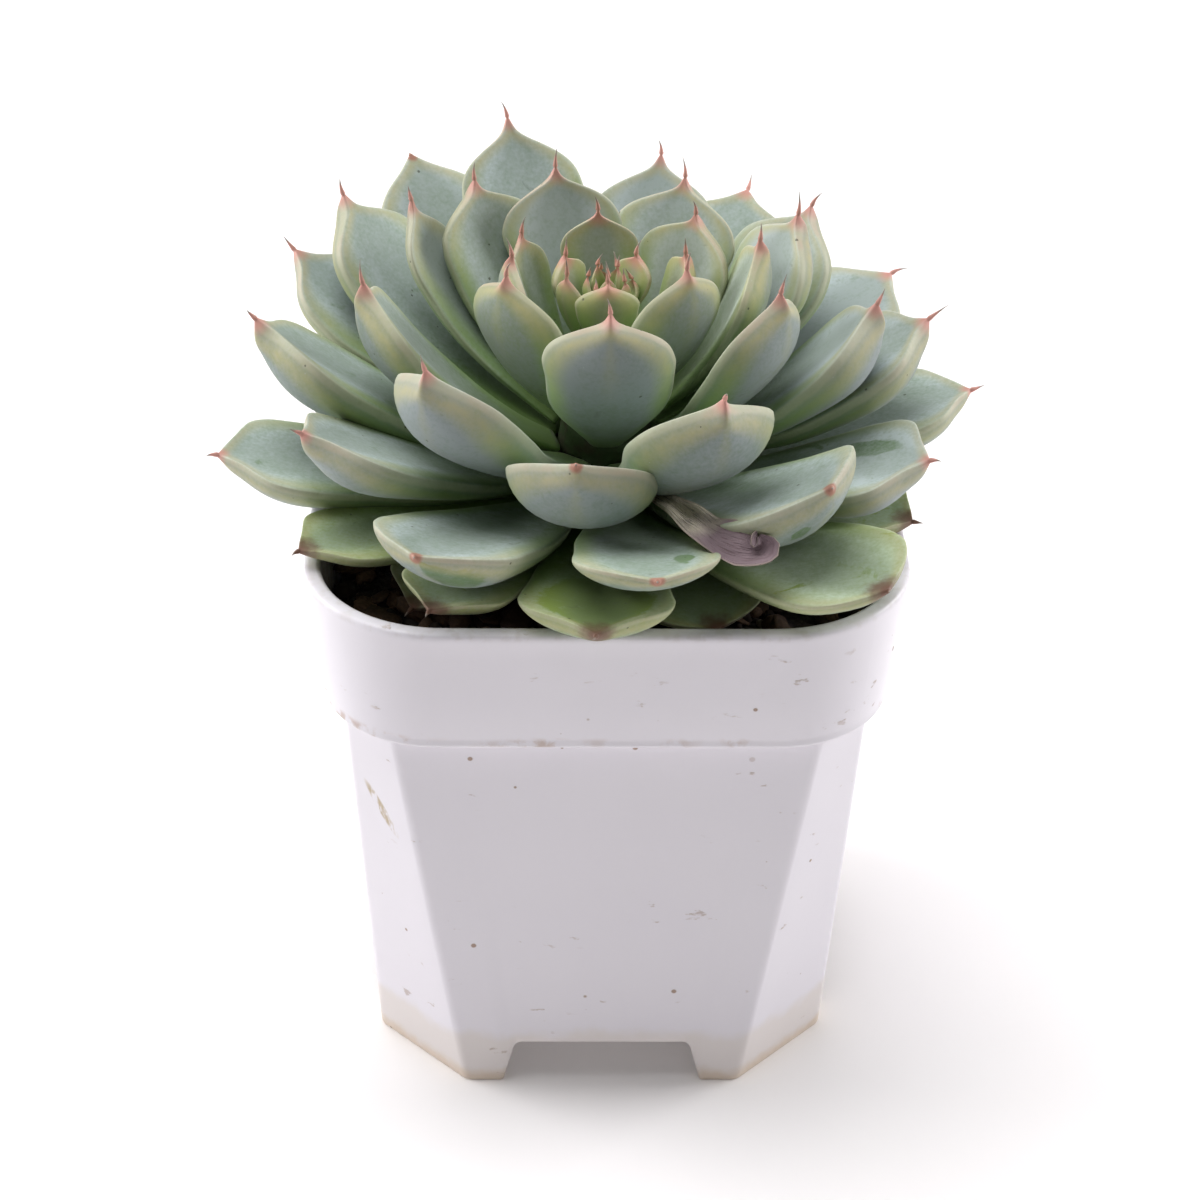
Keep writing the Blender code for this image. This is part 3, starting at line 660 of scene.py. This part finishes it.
def leaf_finish(name, flesh, bloom, powder, cream, pink, wear, foot_green_and_painted_light=0.85, brown=0.0):
    """Waxy flesh: green under a grey bloom that thins where it was rubbed, greenish gold along the margins
    and keel, pink at the point and green at the foot, with scattered pits and dots. Painted into the colour
    are lighter upper faces and darker lower faces, a painted shade down the hollow of the upper face, a
    painted highlight on the pale margins, and painted light in the green at the foot. Powder is the share of
    the bloom, cream of the margins and their painted highlight, pink of the point, wear of the rubbing,
    foot_green_and_painted_light of the foot's green and its painted light, and brown of a scorched point."""
    leaf = Finish(name, roughness=0.6, specular_ior_level=0.35, sheen_weight=0.12, sheen_roughness=0.4)
    along, side, up = leaf.mark("along"), leaf.mark("across"), leaf.mark("upward")
    margin, nature, point = leaf.mark("margin"), leaf.mark("nature"), leaf.mark("point")
    cloud = leaf.noise(7.0, 3)
    mottle = leaf.noise(1.6, 4)
    dust = leaf.noise(0.5, 3)
    patch = (leaf.mark("worn") + 0.5 * (mottle - 0.5)).rises(0.42, 0.58)
    rubbed = (leaf.noise(4.5, 5, twist=0.6).rises(0.64, 0.72) * wear).most(patch)
    scratched = leaf.noise(2.0, 3, leaf.stretched(1.0, 0.35, 1.0)).rises(0.68, 0.74) * wear * 0.6
    wax = powder + 0.35 * (cloud - 0.5) + 0.65 * (mottle - 0.5) + 0.90 * (dust - 0.5) + 0.30 * (nature - 0.5)
    green = (along + 0.25 * (cloud - 0.5)).rises(0.70, 0.25)
    wax = (wax - 0.55 * green - 0.70 * rubbed - 0.35 * scratched).most(0.0).least(1.0)
    # Painted light and shade: the upper faces get lighter copies of the bloom and flesh and the lower faces
    # darker ones, as light from above would make them.
    upper = up.rises(-0.25, 0.25)
    bloom_lit_and_shaded = leaf.blend(upper, shade(bloom, 0.78), shade(bloom, 1.45))
    flesh_lit_and_shaded = leaf.blend(upper, flesh, shade(flesh, 1.35))
    colour = leaf.blend(wax, flesh_lit_and_shaded, bloom_lit_and_shaded)
    # Painted shade: the middle of the upper face, where it is hollow, is darkened towards a shaded green.
    painted_hollow_shade = (abs(side) + 0.5 * (cloud - 0.5)).rises(0.80, 0.25) * up.rises(-0.1, 0.2)
    colour = leaf.blend(0.45 * painted_hollow_shade, colour, rgb(0.20, 0.26, 0.20))
    smudge = leaf.noise(2.8, 6, twist=0.8).rises(0.66, 0.76)
    colour = leaf.blend(0.40 * smudge, colour, rgb(0.12, 0.14, 0.11))
    glow = (margin + 1.6 * (cloud - 0.5)).rises(3.7, 0.8) * (0.55 + 0.45 * margin.rises(0.1, 0.8))
    lush = glow * along.rises(0.98, 0.5)
    colour = leaf.blend(0.66 * lush, colour, rgb(0.21, 0.35, 0.09))
    band = (margin + 1.0 * (cloud - 0.5)).rises(3.6, 0.6) * (0.6 + 0.4 * margin.rises(0.2, 1.0))
    gold = band * along.rises(0.25, 0.8) * (0.35 + 1.1 * mottle)
    ripe = leaf.blend(along.rises(0.55, 0.95), rgb(0.36, 0.46, 0.13), rgb(0.54, 0.47, 0.20))
    colour = leaf.blend((0.58 * cream * gold).least(0.7), colour, ripe)
    keel = (abs(side) + 0.25 * (mottle - 0.5)).rises(0.20, 0.0) * up.rises(0.1, -0.3) * point.rises(14.0, 3.0)
    colour = leaf.blend(0.25 * cream * keel, colour, rgb(0.45, 0.43, 0.22))
    # The margin's own pale colour, brightened further as a painted highlight along the leaf's edge.
    rim = (margin + 0.3 * (mottle - 0.5)).rises(0.35, 0.10)
    colour = leaf.blend(0.35 * cream * rim * along.rises(0.1, 0.5), colour, rgb(0.62, 0.60, 0.42))
    blush = (point + 0.8 * (mottle - 0.5)).rises(2.8 * pink, 0.3 * pink) * (1 - leaf.mark("scar"))
    colour = leaf.blend(0.80 * blush, colour, rgb(0.70, 0.28, 0.25))
    flush = (rim * point.rises(14.0, 4.0) * cloud.rises(0.45, 0.6)).least(1.0)
    colour = leaf.blend(0.22 * pink * flush, colour, rgb(0.62, 0.34, 0.27))
    scab = (point + 0.7 * (mottle - 0.5)).rises(1.25, 0.6) * leaf.mark("scar")
    colour = leaf.blend(0.85 * scab, colour, rgb(0.42, 0.17, 0.12))
    if brown:
        scorch = (point + 3.0 * (mottle - 0.5)).rises(3.6, 1.0)
        colour = leaf.blend(brown * scorch, colour, rgb(0.17, 0.09, 0.06))
    scrapes = leaf.noise(0.9, 5, twist=0.8).rises(0.74, 0.80) * cloud.rises(0.45, 0.6)
    pits = leaf.specks(1.7, 0.13, 0.22).most(scrapes)
    colour = leaf.blend(0.70 * pits, colour, rgb(0.08, 0.085, 0.055))
    dots = leaf.specks(1.1, 0.09, 0.20)
    colour = leaf.blend(0.30 * dots, colour, rgb(0.62, 0.66, 0.60))
    # The foot's own green, lightened as painted light to stand for light shining through the flesh into the
    # shaded crevices between leaves.
    foot = (along + 0.12 * (cloud - 0.5)).rises(0.40, 0.05)
    colour = leaf.blend(foot_green_and_painted_light * foot, colour, rgb(0.19, 0.30, 0.085))
    colour = leaf.blend(along.rises(1.45, 1.75), colour, rgb(0.33, 0.27, 0.23))
    matt = 0.62 - 0.20 * rubbed + 0.10 * (dust - 0.5) - 0.10 * rim
    relief = leaf.bump(cloud, 0.10)
    relief = leaf.bump(mottle, 0.035, relief)
    relief = leaf.bump(dust, 0.010, relief)
    relief = leaf.bump(1 - pits, 0.05, relief)
    return leaf.done(colour, matt, relief)


# The tiers of the rosette, from the soil up: how many leaves, their slot, how much fuller they are under the
# point, the length of their point's hair, and their finish.
tiers = {
    "skirt": (9, "old_leaf_flesh", 0.5, 1.6, leaf_finish(
        "old_leaf_flesh", rgb(0.22, 0.30, 0.06), rgb(0.42, 0.50, 0.38),
        powder=0.60, cream=0.8, pink=0.4, wear=1.0, foot_green_and_painted_light=0.4, brown=0.9)),
    "outer": (12, "leaf_flesh", 0.7, 2.2, leaf_finish(
        "outer_leaf_flesh", rgb(0.13, 0.21, 0.10), rgb(0.42, 0.48, 0.49),
        powder=0.82, cream=0.9, pink=0.7, wear=0.8, foot_green_and_painted_light=0.6)),
    "broad": (14, "leaf_flesh", 0.5, 2.6, leaf_finish(
        "broad_leaf_flesh", rgb(0.14, 0.22, 0.11), rgb(0.39, 0.445, 0.455),
        powder=0.85, cream=1.0, pink=0.9, wear=0.5)),
    "middle": (8, "leaf_flesh", 0.3, 2.6, leaf_finish(
        "middle_leaf_flesh", rgb(0.16, 0.23, 0.11), rgb(0.39, 0.44, 0.445),
        powder=0.84, cream=1.1, pink=1.0, wear=0.3)),
    "inner": (7, "young_leaf_flesh", 0.25, 2.4, leaf_finish(
        "inner_leaf_flesh", rgb(0.20, 0.27, 0.12), rgb(0.41, 0.45, 0.42),
        powder=0.76, cream=1.2, pink=1.0, wear=0.2)),
    "core": (5, "young_leaf_flesh", 0.1, 2.0, leaf_finish(
        "core_leaf_flesh", rgb(0.28, 0.31, 0.12), rgb(0.43, 0.44, 0.32),
        powder=0.66, cream=1.3, pink=1.0, wear=0.1)),
}
# Leaves whose point has broken off, and the length of what is left of it.
blunt = ["leaf_skirt_05", "leaf_skirt_06", "leaf_outer_03", "leaf_outer_04", "leaf_outer_05"]
blunt += ["leaf_broad_04", "leaf_broad_12"]
stub = 0.4
# Where the bloom has been rubbed off: how far along, how far aside, on which face (1 is the upper), and the
# length and width of the patch, all as shares of the leaf.
rubs = {
    "leaf_outer_03": [(0.92, 0.45, -1, 0.10, 0.45)],
    "leaf_outer_04": [(0.82, 0.5, 1, 0.05, 0.16)],
    "leaf_outer_05": [(0.88, -0.40, -1, 0.04, 0.15)],
    "leaf_outer_06": [(0.74, 0.35, 1, 0.18, 0.22), (0.90, 0.1, -1, 0.07, 0.4)],
    "leaf_skirt_04": [(0.80, 0.0, 1, 0.25, 0.9)],
}
# One leaf is narrower, flatter underneath and barer than the rest of its tier.
slim_node, slim_share, slim_belly, slim_nature = "leaf_outer_04", 0.88, -0.1, -0.6

for tier, (count, slot, tier_belly, hair, finish) in tiers.items():
    for number in range(1, count + 1):
        node = "leaf_%s_%02d" % (tier, number)
        middle, side, half, *depths = read_leaf(node)
        belly, nature = tier_belly, None
        if node == slim_node:
            half, belly, nature = half * slim_share, slim_belly, slim_nature
        seed = number * 7 + len(tier)
        skin, marks = leaf_skin((middle, side, half, *depths), seed, stub if node in blunt else hair, belly,
                                rubs=rubs.get(node, ()), nature=nature)
        leaf = make_tube(node, skin, finish, marks)
        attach(leaf, "root")
        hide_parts(node)

# --------------------------------------------------------------------------------------------------
# The heart: the youngest leaves, a few millimetres long, still folded around the growing point. They are the
# palest and yellowest, with pink points.


def heart_ribs(azimuth, reach, rise, width, lean):
    """One unopened leaf: its middle line leaves the stem's end and curls in towards the top."""
    share = np.linspace(0, 1, 10)[:, None]
    turn = math.radians(azimuth)
    out = np.array([[math.cos(turn), math.sin(turn), 0.0]])
    side = np.repeat([[-math.sin(turn), math.cos(turn), 0.0]], 10, 0)
    base = np.array([[0.0, axis_y, 97.2]])
    middle = base + out * (0.5 + reach * np.sin(np.pi * share * lean)) + np.array([0.0, 0.0, rise]) * share
    widens = 0.35 + 0.65 * np.sin(np.pi * np.clip(share, 0, 0.8) / 1.6)
    half = width / 2 * widens * (1 - share**3.2) ** 1.2 + 0.1
    depth = 0.8 * np.sin(np.pi * (0.2 + 0.7 * share)) * (1 - share**4) + 0.1
    return middle, side, half, -out * depth * 0.3, out * depth, -out * half * 0.25


heart_finish = leaf_finish(
    "heart_flesh", rgb(0.27, 0.33, 0.11), rgb(0.44, 0.48, 0.29),
    powder=0.50, cream=1.0, pink=0.6, wear=0.0, foot_green_and_painted_light=0.5)
heart_count, golden_turn = 9, 137.5
heart_points, heart_quads, heart_fans, heart_marks = [], [], [], {}
for number in range(heart_count):
    age = number / (heart_count - 1)
    reach, rise, width, lean = 0.9 + 2.3 * age, 6.6 - 2.2 * age, 3.0 + 2.2 * age, 0.60 + 0.04 * age
    ribs = heart_ribs(golden_turn * number, reach, rise, width, lean)
    grid, marks = leaf_skin(ribs, 200 + number, hair=1.7, belly=0.0, foot_wide=0.0)
    quads, fans = skin_faces(*grid.shape[:2])
    earlier = sum(len(points) for points in heart_points)
    heart_points.append(np.vstack([grid.reshape(-1, 3), grid[0].mean(0), grid[-1].mean(0)]))
    heart_quads.append(quads + earlier)
    heart_fans.append(fans + earlier)
    for label, values in marks.items():
        ends = [values[0].mean(), values[-1].mean()]
        heart_marks.setdefault(label, []).append(np.append(values.ravel(), ends))
heart_marks = {label: np.concatenate(values) for label, values in heart_marks.items()}
heart = make_piece("heart_bud", np.vstack(heart_points), np.vstack(heart_quads), np.vstack(heart_fans),
                   heart_finish, heart_marks)
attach(heart, "root")
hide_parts("heart_bud")

# --------------------------------------------------------------------------------------------------
# The dried leaf: an old leaf whose flesh has gone, leaving a thin wrinkled trough. It is straw-coloured at
# its foot and purple-brown at its end, where it bends aside and up.


def dried_rows():
    """A trough: a thin closed strip along a curved line, with its edges curled up and its skin crumpled."""
    rows, columns = 60, 36
    share = np.linspace(0, 1, rows)
    knots = [0, 0.2, 0.4, 0.6, 0.78, 0.93, 1]
    turn = np.radians(np.interp(share, knots, [286, 285.2, 286.7, 287.4, 290.8, 295.5, 293.8]))
    reach = np.interp(share, knots, [9, 19.8, 29.8, 38, 42.3, 43.5, 42.8])
    height = np.interp(share, knots, [76, 82.6, 85.3, 86.8, 86.5, 85.9, 87.8])
    half = np.interp(share, knots, [0.5, 1.3, 2.1, 2.4, 2.9, 1.9, 0.3])
    curl = np.interp(share, [0, 0.5, 0.8, 1], [0.3, 0.9, 1.4, 0.5])
    round_turn = np.arange(columns) * 2 * np.pi / columns
    over = -np.cos(round_turn)
    thick = 0.16 * np.sin(round_turn)
    out = np.stack([np.cos(turn), np.sin(turn), 0 * turn], axis=-1)
    middle = out * reach[:, None] + np.stack([0 * turn, 0 * turn + axis_y, height], axis=-1)
    smoothings = 14
    for _ in range(smoothings):
        middle[1:-1] = (middle[:-2] + middle[1:-1] + middle[2:]) / 3
    facing = 0.72 * out + np.array([0.0, 0.0, 0.69])
    side = np.cross(facing, np.gradient(middle, axis=0))
    side = side / np.linalg.norm(side, axis=1)[:, None]
    share, half, curl = share[:, None], half[:, None], curl[:, None]
    crumple = 0.28 * np.sin(26 * share + 3.0 * over) + 0.22 * np.sin(11 * share - 5 * over)
    rise = curl * np.abs(over) ** 1.6 + crumple * np.clip(half / 2, 0, 1) + thick
    grid = middle[:, None] + (half * over)[..., None] * side[:, None] + rise[..., None] * facing[:, None]
    return grid, {"along": np.repeat(share, columns, 1), "across": np.repeat(over[None], rows, 0)}


def dried_finish():
    """Papery skin: straw to purple-brown, with darker veins along it."""
    paper = Finish("dried_leaf_skin", roughness=0.7, specular_ior_level=0.3)
    along, over = paper.mark("along"), paper.mark("across")
    sheet = paper.node("ShaderNodeCombineXYZ", {}, {0: along * 3.0, 1: over * 4.0})
    veins = paper.node("ShaderNodeTexNoise", {}, {"Vector": sheet, "Scale": 2.5, "Detail": 4.0})
    cloud = paper.noise(3.0, 4)
    older = (along + 0.25 * (cloud - 0.5)).rises(0.42, 0.68)
    colour = paper.blend(older, rgb(0.95, 0.85, 0.68), rgb(0.34, 0.25, 0.28))
    colour = paper.blend(0.5 * veins.rises(0.54, 0.68), colour, rgb(0.12, 0.07, 0.075))
    colour = paper.blend(0.6 * abs(over).rises(0.85, 1.0), colour, rgb(0.50, 0.42, 0.33))
    return paper.done(colour, 0.55 + 0.3 * cloud, paper.bump(veins, 0.5))


dried_grid, dried_marks = dried_rows()
dried = make_tube("dried_leaf", dried_grid, dried_finish(), dried_marks)
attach(dried, "root")
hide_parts("dried_leaf")

# --------------------------------------------------------------------------------------------------
# The stage: a plain white floor, soft light from above and both sides with a little from behind, and a camera
# about 0.4 m off, looking down by about a third of a right angle. The lamps' places and sizes are in metres.


def floor_finish():
    """Plain matt white, lifted a little by a faint glow of its own."""
    paper = Finish("floor_white", roughness=0.9, specular_ior_level=0.1, base_color=rgb(0.95, 0.925, 0.925))
    paper.skin.inputs["Emission Color"].default_value = rgb(1.0, 1.0, 1.0)
    paper.skin.inputs["Emission Strength"].default_value = 0.06
    return paper.done()


floor_corner = 2500.0
corners = np.array([[-1, -1, 0], [1, -1, 0], [1, 1, 0], [-1, 1, 0]]) * floor_corner
floor = make_piece("floor", corners, np.array([[0, 1, 2, 3]]), np.zeros((0, 3), int), floor_finish())

world = bpy.data.worlds.new("studio")
world.use_nodes = True
world.node_tree.nodes["Background"].inputs["Color"].default_value = rgb(1.0, 1.0, 1.0)
world.node_tree.nodes["Background"].inputs["Strength"].default_value = 0.19
bpy.context.scene.world = world
bpy.context.scene.view_settings.view_transform = "Standard"


def softbox(name, place, aim, size, power):
    """A square area light that faces a point."""
    lamp = bpy.data.lights.new(name, "AREA")
    lamp.shape = "SQUARE"
    lamp.size = size
    lamp.energy = power
    box = bpy.data.objects.new(name, lamp)
    bpy.context.scene.collection.objects.link(box)
    box.location = place
    away = np.array(place) - np.array(aim)
    box.rotation_euler = Vector(away).to_track_quat("Z", "Y").to_euler()


softbox("light_top", (-0.25, 0.12, 1.4), (0, 0, 0.05), 1.0, 13.0)
softbox("light_left", (-0.8, 0.22, 0.35), (0, 0, 0.06), 0.5, 5.4)
softbox("light_right", (0.8, 0.25, 0.35), (0, 0, 0.06), 0.5, 5.6)
softbox("light_back", (-0.2, 0.9, 0.6), (0, 0, 0.08), 0.8, 2.0)

pitch, yaw, roll = math.radians(31.81), math.radians(-1.07), math.radians(0.72)
focal_length, sensor, distance = 88.18, 36.0, 389.44
look_at = np.array([-0.44, 0.0, 57.2]) * MM
back = np.array([math.sin(yaw) * math.cos(pitch), -math.cos(yaw) * math.cos(pitch), math.sin(pitch)])
level = np.cross(-back, [0.0, 0.0, 1.0])
level /= np.linalg.norm(level)
upright = np.cross(level, -back)
right = level * math.cos(roll) + upright * math.sin(roll)
top = upright * math.cos(roll) - level * math.sin(roll)
camera = bpy.data.objects.new("camera", bpy.data.cameras.new("camera"))
bpy.context.scene.collection.objects.link(camera)
camera.data.lens = focal_length
camera.data.sensor_width = sensor
camera.data.clip_start = 0.01
stand = np.eye(4)
stand[:3, :3] = np.column_stack([right, top, back])
stand[:3, 3] = look_at + back * distance * MM
camera.matrix_world = Matrix(stand.tolist())
bpy.context.scene.camera = camera
